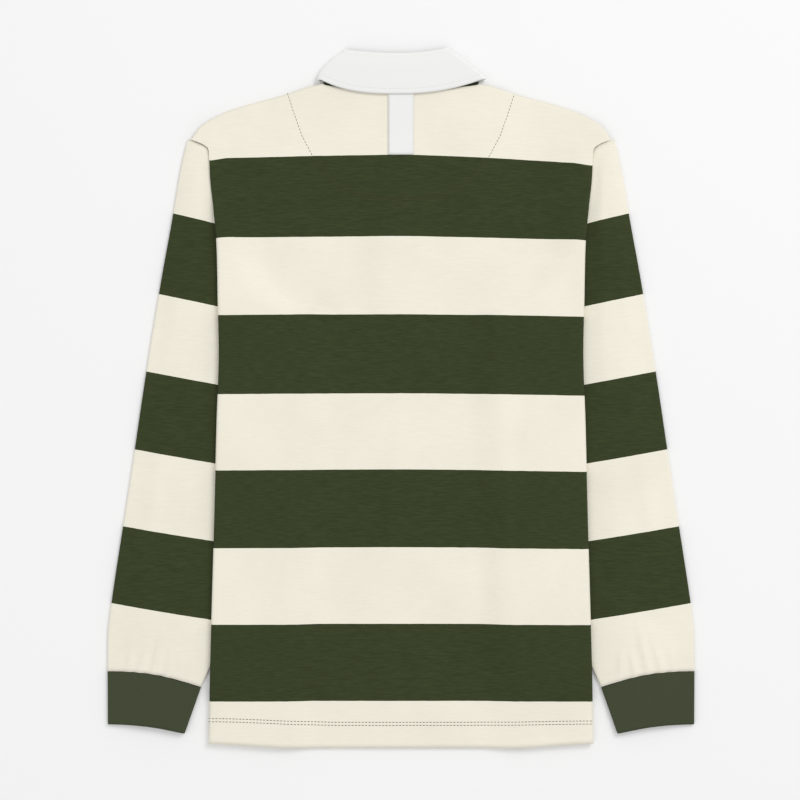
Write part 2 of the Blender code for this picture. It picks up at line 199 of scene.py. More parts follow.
# %% [markdown]
# ## Colours and finishes
# Colours are written as the hex numbers that a screen shows, and one function turns them into the linear
# numbers that Blender's shaders add and mix. A second one adds a node, sets its inputs and links them,
# so that each finish reads as a short recipe.

# %% Write the colour and node helpers


def linear(hex_colour):
    channels = [int(hex_colour[k : k + 2], 16) / 255 for k in (0, 2, 4)]
    return tuple(c / 12.92 if c <= 0.04045 else ((c + 0.055) / 1.055) ** 2.4 for c in channels) + (1.0,)


def add_node(tree, kind, settings=None, **inputs):
    node = tree.nodes.new(kind)
    for key, value in (settings or {}).items():
        setattr(node, key, value)
    for key, value in inputs.items():
        name = key.replace("_", " ")
        socket = node.inputs[int(key[1:])] if key[1:].isdigit() else node.inputs[name]
        if isinstance(value, bpy.types.NodeSocket):
            tree.links.new(value, socket)
        else:
            socket.default_value = value
    return node


def new_finish(name, roughness, sheen=0.0):
    finish = bpy.data.materials.new(name)
    finish.use_nodes = True
    shader = finish.node_tree.nodes["Principled BSDF"]
    shader.inputs["Roughness"].default_value = roughness
    shader.inputs["Specular IOR Level"].default_value = 0.15
    shader.inputs["Sheen Weight"].default_value = sheen
    shader.inputs["Sheen Roughness"].default_value = 0.6
    return finish, finish.node_tree, shader


def math_node(tree, operation, a, b=0.0):
    return add_node(tree, "ShaderNodeMath", {"operation": operation}, i0=a, i1=b).outputs[0]


def colour_mix(tree, share, a, b, blend="MIX"):
    node = add_node(tree, "ShaderNodeMix", {"data_type": "RGBA", "blend_type": blend}, i0=share, i6=a, i7=b)
    return node.outputs[2]


# %% [markdown]
# ### Hooped jersey
# The hoops are knitted in, so their edges are crisp but follow the courses of the knit wherever the
# cloth bends. Each point of the cloth carries a count of the hoop edges above it in its UV map, and the
# finish only asks whether that count is odd or even. Fine streaks along the courses give
# the slightly mottled look of cotton, and a fine bump gives its soft surface.

# %% Make the jersey finishes
STREAK_ALONG, STREAK_ACROSS = 90.0, 900.0
WALE, COURSE_PITCH = 0.0011, 0.0009


def knit_surface(tree, shader, strength):
    """Fine streaks along the courses, and a bump of wales and courses at their real pitch."""
    place = add_node(tree, "ShaderNodeTexCoord").outputs["Object"]
    streak_place = add_node(
        tree, "ShaderNodeMapping", i0=place, Scale=(STREAK_ALONG, STREAK_ACROSS, STREAK_ALONG)
    ).outputs[0]
    streaks = add_node(tree, "ShaderNodeTexNoise", Vector=streak_place, Scale=1.0, Detail=2.0).outputs["Fac"]
    wale_place = add_node(
        tree, "ShaderNodeMapping", i0=place, Scale=(1 / WALE, 1 / COURSE_PITCH, 1 / COURSE_PITCH)
    ).outputs[0]
    loops = add_node(
        tree, "ShaderNodeTexVoronoi", {"feature": "SMOOTH_F1"}, Vector=wale_place, Scale=1.0, Randomness=0.45
    ).outputs["Distance"]
    cloud = add_node(tree, "ShaderNodeTexNoise", Vector=place, Scale=14.0, Detail=3.0).outputs["Fac"]
    height = math_node(tree, "MULTIPLY", loops, -0.7)
    height = math_node(tree, "ADD", height, streaks)
    bump = add_node(tree, "ShaderNodeBump", Strength=strength, Distance=0.0004, Height=height)
    tree.links.new(bump.outputs[0], shader.inputs["Normal"])
    return streaks, cloud


def jersey_finish(name, cream, green):
    finish, tree, shader = new_finish(name, 0.92, 0.04)
    streaks, cloud = knit_surface(tree, shader, 0.35)
    hoops = add_node(tree, "ShaderNodeUVMap", {"uv_map": "cloth"}).outputs[0]
    count = add_node(tree, "ShaderNodeSeparateXYZ", i0=hoops).outputs["Y"]
    fuzz = math_node(tree, "MULTIPLY", math_node(tree, "SUBTRACT", streaks, 0.5), 0.006)
    count = math_node(tree, "ADD", count, fuzz)
    turn = math_node(tree, "FRACT", math_node(tree, "MULTIPLY", count, 0.5))
    edge = math_node(tree, "GREATER_THAN", turn, 0.5)
    base = colour_mix(tree, edge, linear(cream), linear(green))
    shade = add_node(tree, "ShaderNodeMapRange", i0=streaks, i1=0.3, i2=0.7, i3=0.80, i4=1.12).outputs[0]
    soft = add_node(tree, "ShaderNodeMapRange", i0=streaks, i1=0.3, i2=0.7, i3=0.975, i4=1.01).outputs[0]
    mottle = add_node(tree, "ShaderNodeMapRange", i0=cloud, i1=0.3, i2=0.7, i3=0.97, i4=1.02).outputs[0]
    shade = add_node(tree, "ShaderNodeMix", i0=edge, i2=soft, i3=shade).outputs[0]
    shade = math_node(tree, "MULTIPLY", shade, mottle)
    tone = add_node(tree, "ShaderNodeCombineColor", i0=shade, i1=shade, i2=shade).outputs[0]
    tree.links.new(colour_mix(tree, 1.0, base, tone, "MULTIPLY"), shader.inputs["Base Color"])
    return finish


CREAM, GREEN, RIB_GREEN = "EFEADA", "373F24", "434934"
# Cotton yarn scatters light, so both knits are matt, with only a trace of sheen from loose fibres.
hooped_jersey = jersey_finish("Hooped cotton jersey", CREAM, GREEN)
green_jersey = jersey_finish("Dark green cotton jersey", GREEN, GREEN)

# %% [markdown]
# ### Rib, twill, thread and rubber
# Rib is knitted in raised columns that run down the cuff. Twill is woven, and its fine lines run
# across it at an angle. Both patterns are bands of a sine wave at the pitch of the real cloth. Their
# colour is made darker in the low parts of the wave. This is painted shade in the grooves, on top of
# the bump, and a fine grain gives the tone some real variation.

# %% Make the rib, twill, thread and rubber finishes
RIB_PITCH, TWILL_PITCH = 0.0022, 0.0012  # the twill's lines are drawn coarser than real, so that they show
THREAD_PITCH, RUBBER_PITCH = 0.0006, 0.004


def banded_finish(name, colour, pitch, turn, strength, groove_shade_depth, roughness=0.9):
    finish, tree, shader = new_finish(name, roughness, 0.04)
    cloth_map = add_node(tree, "ShaderNodeUVMap", {"uv_map": "cloth"}).outputs[0]
    place = add_node(tree, "ShaderNodeMapping", i0=cloth_map, Rotation=(0, 0, turn)).outputs[0]
    across = add_node(tree, "ShaderNodeSeparateXYZ", i0=place).outputs["X"]
    wave = math_node(tree, "SINE", math_node(tree, "MULTIPLY", across, 2 * math.pi / pitch))
    grain = add_node(tree, "ShaderNodeTexNoise", Vector=cloth_map, Scale=900.0, Detail=2.0).outputs["Fac"]
    height = math_node(tree, "ADD", wave, grain)
    bump = add_node(tree, "ShaderNodeBump", Strength=strength, Distance=0.0004, Height=height)
    tree.links.new(bump.outputs[0], shader.inputs["Normal"])
    # the colour follows the height: painted shade darkens the low parts of the wave, and the grain varies the
    # tone
    shade = add_node(tree, "ShaderNodeMapRange", i0=height, i1=-1.0, i2=2.0, i3=groove_shade_depth, i4=1.05).outputs[0]
    tone = add_node(tree, "ShaderNodeCombineColor", i0=shade, i1=shade, i2=shade).outputs[0]
    tree.links.new(colour_mix(tree, 1.0, linear(colour), tone, "MULTIPLY"), shader.inputs["Base Color"])
    return finish


# Rib is matt and softly lined, twill is smoother, thread has a slight gloss and rubber a little more.
cuff_rib = banded_finish("Green cotton rib", RIB_GREEN, RIB_PITCH, 0.0, 0.45, 0.87)
white_twill = banded_finish("White cotton twill", "ECECEA", TWILL_PITCH, math.radians(40), 0.18, 0.965, 0.85)
dark_thread = banded_finish("Dark sewing thread", "4C4030", THREAD_PITCH, 0.5, 0.3, 0.85, 0.7)
white_thread = banded_finish("White sewing thread", "E4E3DE", THREAD_PITCH, 0.5, 0.3, 0.85, 0.7)
white_rubber = banded_finish("Matt white rubber", "E2E1DC", RUBBER_PITCH, 0.0, 0.03, 0.98, 0.5)
print("finishes:", [finish.name for finish in bpy.data.materials])

# %% [markdown]
# ## How the sides turn under
# At the sides the back panel turns down and under and carries the front panel with it. The turn
# grows from nothing at the shoulder to half a circle below the armhole. The panels between the turns
# sink to the table over a ramp. These functions are the shirt's form, and both panels are read from them.

# %% Write the form of the body


def fold_angle(drop):
    """How far round the cloth turns at the side."""
    return math.pi * ease(ARM_TOP, ARM_MID, drop)


def fold_length(drop):
    return max(FOLD_LEAST, FOLD_RADIUS * fold_angle(drop))


def tuck(drop):
    """The flat cloth after the turn. It grows round the armhole and is even below it."""
    edge = read(BODY_EDGE, max(drop, UNDERARM)) - CLOTH / 2 - FOLD_RADIUS
    full = CUT_HALF - edge - math.pi * FOLD_RADIUS
    share = min(1.0, max(0.0, (drop - ARM_CURVE) / (UNDERARM - ARM_CURVE)))
    return TUCK_LEAST + (full - TUCK_LEAST) * (1 - math.sqrt(1 - share * share))


def bend(length, angle, share):
    if angle < 1e-6:
        return length * share, 0.0
    radius, turned = length / angle, angle * share
    return radius * math.sin(turned), radius * (1 - math.cos(turned))


def fold_start(drop):
    angle, length = fold_angle(drop), fold_length(drop)
    reach = bend(length, angle, min(1.0, math.pi / 2 / max(angle, 1e-9)))[0]
    reach += TUCK_LEAST * max(0.0, math.cos(angle))
    return read(BODY_EDGE, drop) - CLOTH / 2 - reach


def turned_edge(drop):
    """The half at which the turned cloth ends: the armhole seam, and the side seam below it."""
    if fold_angle(drop) < math.pi:
        return fold_start(drop)
    return fold_start(drop) - tuck(drop)


def edge_rise(drop):
    angle = fold_angle(drop)
    dip = bend(fold_length(drop), angle, 1)[1] + TUCK_LEAST * math.sin(angle)
    return LAYER + dip - 2 * LAYER * ease(SLEEVE_END, HEM_FLAT, drop)


def level(half, drop, layer):
    """The middle height of the front, layer 0, or of the back, layer 1."""
    half, seam = abs(half), turned_edge(drop if drop < ARM_MID else drop + RAMP_AHEAD)
    side = edge_rise(drop) * ease(seam - RAMP, seam - 2 * LAYER, half)
    reach = ease(COLLAR_FADE, COLLAR_REACH, half) * ease(COLLAR_FADE, COLLAR_REACH, drop)
    placket = ease(PLACKET_FADE, PLACKET_HALF, half) * ease(0.03, 0.075, drop) * ease(0.275, 0.240, drop)
    return TABLE_LEVEL + layer * LAYER + max(side, LAYER * reach, PLACKET_RISE * placket)


def top_edge(half, neck):
    if abs(half) >= NECK_HALF:
        return read(SHOULDER, abs(half))
    return SHOULDER[0].drop + (neck - SHOULDER[0].drop) * math.sqrt(1 - (half / NECK_HALF) ** 2)


# %% [markdown]
# ## Hoops and creases
# A table of hoop edges gives the drop at which each one crosses the centre line. Towards the sides the
# shoulders' slope pulls the upper hoops down a little, more on the right. A second table
# places the main creases one by one, because real ones are uneven: each is a soft ridge with its own
# place, length, width, lean and height.

# %% Place the hoops and the creases
Hoop = collections.namedtuple("Hoop", "drop count")
BODY_HOOPS = (
    Hoop(-0.0100, 0.0),
    Hoop(0.0763, 1.0),
    Hoop(0.1625, 2.0),
    Hoop(0.2452, 3.0),
    Hoop(0.3290, 4.0),
    Hoop(0.4096, 5.0),
    Hoop(0.4922, 6.0),
    Hoop(0.5733, 7.0),
    Hoop(0.6551, 8.0),
    Hoop(0.7400, 9.0),
)
SLEEVE_HOOPS = (
    Hoop(0.0500, 0.0),
    Hoop(0.1400, 1.0),
    Hoop(0.2286, 2.0),
    Hoop(0.3125, 3.0),
    Hoop(0.3970, 4.0),
    Hoop(0.4800, 5.0),
    Hoop(0.5637, 6.0),
    Hoop(0.6500, 7.0),
)
HOOP_SLOPE = (
    Row(0.14, 0.245),
    Row(0.23, 0.210),
    Row(0.31, 0.187),
    Row(0.40, 0.176),
    Row(0.48, 0.165),
    Row(0.60, 0.170),
)
HOOP_REFERENCE = 0.234  # the half at which the sleeve's drops are stated
Pull = collections.namedtuple("Pull", "drop share")
PULL = (
    Pull(0.070, 1.00),
    Pull(0.160, 0.45),
    Pull(0.245, 0.28),
    Pull(0.400, 0.24),
    Pull(0.570, 0.05),
    Pull(0.660, 0.00),
)
PULL_LEFT, PULL_RIGHT, EDGE_CURL = 0.0037, 0.0100, 0.0025
PULL_HALF, PULL_POWER = 0.19, 1.5  # the pull is full at this half, and grows towards it by this power
CURL_FROM, CURL_TO = 0.183, 0.203  # the top hoop curls down between these halves


def hoops_below(at, table):
    """The count of hoop edges above a drop, a straight line between the rows so that edges stay even."""
    for first, second in zip(table, table[1:]):
        if at <= second.drop:
            return mix(first.count, second.count, (at - first.drop) / (second.drop - first.drop))
    return table[-1].count


def body_count(x, drop):
    pull = PULL_RIGHT if x > 0 else PULL_LEFT
    curl = EDGE_CURL * ease(CURL_FROM, CURL_TO, abs(x)) * ease(0.25, 0.08, drop)
    share = min(1.0, abs(x) / PULL_HALF) ** PULL_POWER
    return hoops_below(drop - curl - pull * share * read(PULL, drop), BODY_HOOPS)


def sleeve_count(half, drop):
    return hoops_below(drop + read(HOOP_SLOPE, drop) * (abs(half) - HOOP_REFERENCE), SLEEVE_HOOPS)


Crease = collections.namedtuple("Crease", "x drop long wide lean height")
BACK_CREASES = (
    Crease(0.104, 0.520, 0.170, 0.011, 0.03, 0.0011),
    Crease(0.149, 0.430, 0.150, 0.013, -0.04, 0.0010),
    Crease(0.176, 0.560, 0.120, 0.009, 0.05, 0.0009),
    Crease(0.128, 0.610, 0.070, 0.008, -0.08, 0.0007),
    Crease(-0.120, 0.470, 0.120, 0.014, 0.04, 0.0008),
    Crease(-0.165, 0.600, 0.080, 0.010, -0.06, 0.0008),
    Crease(0.030, 0.330, 0.090, 0.016, 0.35, 0.0007),
    Crease(-0.060, 0.250, 0.070, 0.015, -0.50, 0.0008),
    Crease(0.150, 0.090, 0.050, 0.012, 0.90, 0.0009),
    Crease(-0.150, 0.085, 0.050, 0.012, -0.80, 0.0008),
    Crease(0.060, 0.050, 0.040, 0.010, 0.60, 0.0006),
    Crease(-0.010, 0.620, 0.090, 0.018, 0.10, 0.0006),
)
SLEEVE_CREASES = (
    Crease(0.258, 0.606, 0.032, 0.0038, -0.20, 0.0024),
    Crease(0.246, 0.618, 0.020, 0.0030, -0.16, 0.0021),
    Crease(0.273, 0.612, 0.026, 0.0034, -0.30, 0.0019),
    Crease(0.287, 0.610, 0.018, 0.0032, -0.10, 0.0014),
    Crease(0.233, 0.616, 0.018, 0.0032, 0.08, 0.0014),
    Crease(0.240, 0.330, 0.070, 0.0090, -0.18, 0.0010),
    Crease(0.222, 0.190, 0.050, 0.0075, -0.30, 0.0010),
    Crease(0.262, 0.450, 0.060, 0.0080, -0.10, 0.0008),
)
CREASE_TAPER = 1.6  # how quickly a ridge dies away along its length


def creased(x, drop, creases):
    height = 0.0
    for crease in creases:
        along = drop - crease.drop
        if abs(along) < 2 * crease.long:
            across = x - crease.x + along * crease.lean
            fall = (across / crease.wide) ** 2 + CREASE_TAPER * (along / crease.long) ** 2
            height += crease.height * math.exp(-fall)
    return height


# %% [markdown]
# ## Making a piece of cloth
# Every piece starts as a flat grid. Its points are moved to the cloth's place, their UV map is written,
# and a Solidify modifier gives the wall its thickness, so that edges show a real cut or fold.

# %% Write the cloth maker
pieces = {}


def cloth(name, rows, maps, wall, finish, nodes):
    across, along = len(rows[0]) - 1, len(rows) - 1
    bm = bmesh.new()
    bmesh.ops.create_grid(bm, x_segments=across, y_segments=along, size=1)
    layer = bm.loops.layers.uv.new("cloth")
    for vert in bm.verts:
        column = round((vert.co.x + 1) / 2 * across)
        row = round((1 - vert.co.y) / 2 * along)
        vert.co = rows[row][column]
        for loop in vert.link_loops:
            loop[layer].uv = maps[row][column]
    bmesh.ops.remove_doubles(bm, verts=bm.verts, dist=1e-6)
    for face in bm.faces:
        face.smooth = True
    return add_piece(name, bm, finish, nodes, wall)


def add_piece(name, bm, finish, nodes=(), wall=0.0):
    mesh = bpy.data.meshes.new(name)
    bm.to_mesh(mesh)
    bm.free()
    mesh.materials.append(finish)
    piece = bpy.data.objects.new(name, mesh)
    bpy.context.scene.collection.objects.link(piece)
    if wall:
        modifier = piece.modifiers.new("Wall", "SOLIDIFY")
        modifier.thickness, modifier.offset = wall, 0
    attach(piece, "root")
    if nodes:
        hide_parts(*nodes)
    pieces[name] = piece
    print(name, len(mesh.vertices), "points")
    return piece


# %% [markdown]
# ## Back and front
# Both panels are cut to the same width. Each course runs from one side seam, round the lower turn, over
# the shirt and round the other turn. Near the shoulder a course follows the shoulder seam, and
# further down it runs straight across.

# %% Make the back and the front
NECK_STEPS, SIDE_STEPS, TURN_STEPS, TUCK_STEPS = 16, 24, 8, 12
TOP_COURSES, LOWER_COURSES = 26, 112
CREASE_FADE = 3  # columns beside the turn
SHORT_OVER = 0.05  # the front is eased shorter over this width beside its edge
HEM_ROUND = 0.005  # the hem rises this much at the sides


def courses():
    upper = [(read(COURSE, flat), flat) for flat in spaced(0, 1, TOP_COURSES)]
    lower = [(drop, 1.0) for drop in spaced(COURSE[-1].drop, HEM_DROP, LOWER_COURSES)]
    return upper + lower[1:]


def panel_row(course_drop, flat, neck, layer):
    side_drop = mix(SHOULDER_TIP, course_drop, flat)
    start, angle, length = fold_start(side_drop), fold_angle(side_drop), fold_length(side_drop)
    half_row = []
    neck_shares = [math.sin(math.pi / 2 * share) for share in spaced(0, 1, NECK_STEPS)]
    for share in [share - 1 for share in neck_shares] + spaced(0, 1, SIDE_STEPS)[1:]:
        inner, outer = NECK_HALF * min(1, share + 1), max(0, share)
        drop = mix(top_edge(mix(inner, SHOULDER[-1].half, outer), neck), course_drop, flat)
        drop -= HEM_ROUND * ease(0.2, 1.1, outer) * ease(0.60, HEM_DROP, course_drop)
        half = mix(inner, start, outer)
        half_row.append((half, drop, level(half, drop, layer)))
    if layer == 0:
        short = FRONT_SHORT * ease(ARM_MID, (ARM_TOP + ARM_MID) / 2, side_drop)
        half_row = [
            (half - short * ease(start - SHORT_OVER, start, half), drop, height)
            for half, drop, height in half_row
        ]
        length -= LAYER * angle
    start, last_drop, last_level = half_row[-1]
    for share in spaced(0, 1, TURN_STEPS)[1:]:
        out, down = bend(length, angle, share)
        half_row.append((start + out, last_drop, last_level - down))
    end_half, _, end_level = half_row[-1]
    flat_cloth = tuck(side_drop)
    for share in spaced(0, 1, TUCK_STEPS)[1:]:
        out, down = flat_cloth * share * math.cos(angle), flat_cloth * share * math.sin(angle)
        half_row.append((end_half + out, last_drop, end_level - down))
    return half_row, len(neck_shares) + SIDE_STEPS


def panel(neck, layer, creases):
    rows, maps = [], []
    for course_drop, flat in courses():
        half_row, flat_points = panel_row(course_drop, flat, neck, layer)
        row, row_map = [], []
        for side in (-1, 1):
            made = []
            for k, (half, drop, height) in enumerate(half_row):
                x = side * half
                if k < flat_points:  # the creases fade out before the turn
                    fade = ease(0, 1, (flat_points - 1 - k) / CREASE_FADE)
                    height += creased(x, drop, creases) * fade
                made.append((point(x, drop, height), (x, body_count(x, drop))))
            made = made[::-1] if side < 0 else made[1:]
            row += [place for place, _ in made]
            row_map += [uv for _, uv in made]
        rows.append(row)
        maps.append(row_map)
    return rows, maps


back_rows, back_maps = panel(BACK_NECK, 1, BACK_CREASES)
back = cloth("back_panel", back_rows, back_maps, CLOTH, hooped_jersey, ["back"])
front_rows, front_maps = panel(FRONT_NECK, 0, ())
front = cloth("front_panel", front_rows, front_maps, CLOTH, hooped_jersey, ["front"])

# %% [markdown]
# ## Sleeves and cuffs
# A sleeve is a tube of cloth that lies flat. Its rows run square to the arm, so the hoops slope on it. Its
# upper end follows the armhole, under the back's turned edge. Above the cuff its extra width is gathered,
# which shows as short creases that fan up from the seam.

# %% Make the sleeves and the cuffs
TUBE_STEPS, ROUND_STEPS = 44, 5
CAP_ROWS, ARM_ROWS, CUFF_ROWS = 24, 90, 16
SEAM_ARCH, END_ARCH = 0.0052, 0.0026  # the cuff's seam and end bow up the arm between their ends


def ring(high, low):
    across = (high[-1] - high[0]).xy.to_3d().normalized()

    def turn(upper, lower, out):
        middle, radius = (upper + lower) / 2, (upper.z - lower.z) / 2
        angles = spaced(math.pi / 2, -math.pi / 2, ROUND_STEPS)[1:-1]
        return [middle + out * radius * math.cos(a) + Vector((0, 0, radius * math.sin(a))) for a in angles]

    outer = turn(high[-1], low[-1], across)
    inner = turn(high[0], low[0], -across)
    return high + outer + low[::-1] + inner[::-1] + [high[0]]


def sleeve_loft(half, drop):
    near, far = read(BODY_EDGE, drop) + 0.003, read(SLEEVE_OUTER, drop) - 0.003
    wide = max(far - near, 1e-6)
    share = (half - near) / wide
    return min(SLEEVE_LOFT, 0.1 * wide) * ease(0, 0.35, share) * ease(1, 0.65, share)


def clear_of_body(half, drop):
    return ease(0.004, 0.014, half - read(BODY_EDGE, drop)) if drop < 0.66 else 1.0


def sleeve_ring(pairs, wall, gap, creases):
    low_level = wall / 2
    high_level = low_level + wall + gap
    high = []
    for (half, drop), _ in pairs:
        rise = sleeve_loft(half, drop) + creased(half, drop, creases) * clear_of_body(half, drop)
        high.append(point(half, drop, high_level + rise))
    return ring(high, [point(*lower, low_level) for _, lower in pairs])


def sleeve_row(row):
    inset = CLOTH / 2 + LAYER / 2
    outer = read(SLEEVE_OUTER, row.drop) - inset
    inner_drop = row.drop
    for _ in range(6):
        inner = read(SLEEVE_INNER, inner_drop) + inset
        inner_drop = row.drop + row.slope * (outer - inner)
    arch = SEAM_ARCH * ease(0.54, 0.62, row.drop)
    return [
        (mix(inner, outer, t), mix(inner_drop, row.drop, t) - arch * math.sin(math.pi * t))
        for t in spaced(0, 1, TUBE_STEPS)
    ]


def armhole_pairs():
    pairs = []
    for t in spaced(0, 1, TUBE_STEPS):
        drop = mix(UNDERARM, 0.0605, t)
        held = min(1.0, 3 * math.sin(math.pi * t))
        seam = turned_edge(drop) if drop >= ARM_MID else read(BODY_EDGE, drop) - CLOTH / 2
        if t == 1:
            seam = read(SLEEVE_OUTER, drop) - CLOTH / 2 - LAYER / 2
        pairs.append(((seam - SLEEVE_UNDER_BACK * held, drop), (seam - SLEEVE_UNDER_FRONT * held, drop)))
    return pairs


def sleeve_rings():
    armhole, first = armhole_pairs(), sleeve_row(SLEEVE_ROWS[0])
    gap = LAYER - CLOTH
    rings = []
    for share in spaced(0, 1, CAP_ROWS)[:-1]:
        pairs = []
        drop = mix(armhole[-1][0][1], first[-1][1], share)
        bulge = read(SLEEVE_OUTER, drop) - CLOTH / 2 - LAYER / 2 - mix(armhole[-1][0][0], first[-1][0], share)
        for k, both in enumerate(armhole):
            sides = [tuple(mix(a, b, share) for a, b in zip(side, first[k])) for side in both]
            pairs.append([(half + bulge * (k / TUBE_STEPS) ** 3, at) for half, at in sides])
        rings.append(sleeve_ring(pairs, CLOTH, gap, SLEEVE_CREASES))
    slopes = [(row.drop, row.slope) for row in SLEEVE_ROWS]
    for drop in spaced(SLEEVE_ROWS[0].drop, SLEEVE_ROWS[-1].drop, ARM_ROWS):
        pairs = [(at, at) for at in sleeve_row(Row(drop, read(slopes, drop)))]
        rings.append(sleeve_ring(pairs, CLOTH, gap, SLEEVE_CREASES))
    return rings


CUFF_CREASES = (
    Crease(0.252, 0.648, 0.020, 0.0060, -0.1, 0.0007),
    Crease(0.282, 0.645, 0.018, 0.0050, 0.1, 0.0006),
)


def cuff_rings():
    inset = RIB / 2 + LAYER / 2
    rings = []
    for share in spaced(0, 1, CUFF_ROWS):
        arch = mix(SEAM_ARCH, END_ARCH, share)
        outer, outer_drop, inner, inner_drop = (mix(a, b, share) for a, b in zip(CUFF_TOP, CUFF_BOTTOM))
        down = SEAM * (1 - share)
        ends = ((inner + inset, inner_drop + down), (outer - inset, outer_drop + down))
        (start, start_drop), (end, end_drop) = ends
        pairs = [
            (mix(start, end, t), mix(start_drop, end_drop, t) - arch * math.sin(math.pi * t))
            for t in spaced(0, 1, TUBE_STEPS)
        ]
        rings.append(sleeve_ring([(at, at) for at in pairs], RIB, LAYER - CLOTH, CUFF_CREASES))
    return rings


def tube_maps(rings, counted):
    maps = []
    for row in rings:
        reach, row_map = 0.0, []
        for before, at in zip([row[0]] + row, row):
            reach += (at - before).xy.length
            drop = CENTRE_DROP - at.y
            row_map.append((reach, sleeve_count(at.x, drop) if counted else drop))
        maps.append(row_map)
    return maps


def mirrored(rows):
    return [[Vector((-at.x, at.y, at.z)) for at in reversed(row)] for row in rows]


sleeve, cuff = sleeve_rings(), cuff_rings()
for side, name in ((1, "right"), (-1, "left")):
    made_sleeve = sleeve if side > 0 else mirrored(sleeve)
    made_cuff = cuff if side > 0 else mirrored(cuff)
    sleeve_maps, cuff_maps = tube_maps(made_sleeve, True), tube_maps(made_cuff, False)
    sleeve_node, cuff_node = f"sleeve_{name}", f"cuff_{name}"
    cloth(f"{sleeve_node}_cloth", made_sleeve, sleeve_maps, CLOTH, hooped_jersey, [sleeve_node])
    cloth(f"{cuff_node}_rib", made_cuff, cuff_maps, RIB, cuff_rib, [cuff_node])

# %% [markdown]
# ## Collar
# The collar is two pieces: a dark-green stand that rises from the neck seam, and a white leaf
# that turns over it along the roll. At the back the leaf lies on the shirt, and at the front both
# pass under it, where the collar's points lie on the table.

# %% Make the collar
Turn = collections.namedtuple("Turn", "side roll_half roll_drop edge_half edge_drop bulge curve")
LEFT_TURN = Turn(-1, 0.0625, -0.0325, 0.0885, -0.0027, 0.0065, 3.0)
RIGHT_TURN = Turn(1, 0.0510, COLLAR_TOP + 0.002, 0.0905, -0.0035, 0.0020, 2.1)
ROLL_MIDDLE, EDGE_MIDDLE = -0.0290, 0.0120
ROLL_FRONT, POINT_HALF, POINT_DROP, POINT_BULGE = 0.0660, 0.052, 0.098, (0.096, 0.045)
ROLL_RADIUS = 0.0022
UNDER_STEPS, OVER_STEPS, LEAF_STEPS, ROLL_STEPS = 20, 24, 18, 4


def collar_row(left, right, middle_drop, levels, under_at, curves=(2.0, 2.0)):
    low, high = levels
    middle, radius = (low + high) / 2, (high - low) / 2
    shares = [math.cos(math.pi / 2 * t) for t in spaced(0, 1, UNDER_STEPS)]

    def under(side):
        return [point(side * half, drop, low) for half, drop in (under_at(side, share) for share in shares)]

    def turn(side, half, drop):
        made = []
        for angle in spaced(-math.pi / 2, math.pi / 2, TURN_STEPS)[1:-1]:
            out, up = radius * math.cos(angle), radius * math.sin(angle)
            made.append(point(side * (half + out), drop, middle + up))
        return made

    over = []
    for k in range(-OVER_STEPS, OVER_STEPS + 1):
        side_half, side_drop = right if k > 0 else left
        share = k / OVER_STEPS
        curve = curves[1] if k > 0 else curves[0]
        over.append(point(share * side_half, mix(middle_drop, side_drop, abs(share) ** curve), high))
    return under(-1)[::-1] + turn(-1, *left) + over + turn(1, *right)[::-1] + under(1)


def leaf_rows():
    rows = []
    rolls = [(0.0, angle) for angle in spaced(math.radians(80), 0, ROLL_STEPS)[:-1]]
    for share, angle in rolls + [(share, 0.0) for share in spaced(0, 1, LEAF_STEPS)]:
        high = mix(NECK_LEVEL + CLOTH + SEAM, LEAF_LEVEL, ease(0, 0.35, share))
        radius = (high - TABLE_LEVEL) / 2
        out, close = ROLL_RADIUS * math.sin(angle), (1 - math.cos(angle)) * (radius - CLOTH * 0.6)
        ends = {}
        for turn in (LEFT_TURN, RIGHT_TURN):
            half = mix(turn.roll_half, turn.edge_half, share) - radius - CLOTH / 2
            half += turn.bulge * math.sin(math.pi * share) ** 0.6
            ends[turn.side] = (half, mix(turn.roll_drop, turn.edge_drop, share) - out)

        def under_at(side, neck_share, share=share, ends=ends, out=out):
            along = 1 - neck_share
            half, drop = ends[side]
            roll = (half * neck_share + 0.004 * along, mix(drop, ROLL_FRONT, math.sqrt(1 - neck_share**2)))
            bulge, middle = POINT_BULGE
            edge = (
                neck_share**2 * half + 2 * along * neck_share * bulge + along**2 * POINT_HALF,
                neck_share**2 * drop + 2 * along * neck_share * middle + along**2 * POINT_DROP,
            )
            return mix(roll[0], edge[0], share), mix(roll[1], edge[1], share)

        middle_drop = mix(ROLL_MIDDLE, EDGE_MIDDLE, share) - out
        levels = (TABLE_LEVEL + close, high - close)
        curves = [mix(2.0, turn.curve, share) for turn in (LEFT_TURN, RIGHT_TURN)]
        rows.append(collar_row(ends[-1], ends[1], middle_drop, levels, under_at, curves))
    return rows


def stand_rows():
    low, high = TABLE_LEVEL + LAYER, NECK_LEVEL
    inset, gap = LAYER / 2 + CLOTH / 2, 0.0008
    rows = []
    for share in spaced(0, 1, 8):
        ends = {}
        for turn in (LEFT_TURN, RIGHT_TURN):
            roll_half = turn.roll_half - 3 * LAYER - inset
            half = mix(NECK_HALF - gap - LAYER / 2, roll_half, share)
            ends[turn.side] = (half, mix(SHOULDER[0].drop - gap, turn.roll_drop + 0.003, share))

        def under_at(side, neck_share, share=share, ends=ends):
            half, drop = ends[side]
            lowest = mix(FRONT_NECK - gap, ROLL_FRONT - 0.002, share)
            return max(half * neck_share, 0.004), mix(drop, lowest, math.sqrt(1 - neck_share**2))

        middle_drop = mix(BACK_NECK - gap, ROLL_MIDDLE + 0.003, share)
        rows.append(collar_row(ends[-1], ends[1], middle_drop, (low, high), under_at))
    return rows


def plain_maps(rows):
    return [[(at.x, at.y) for at in row] for row in rows]


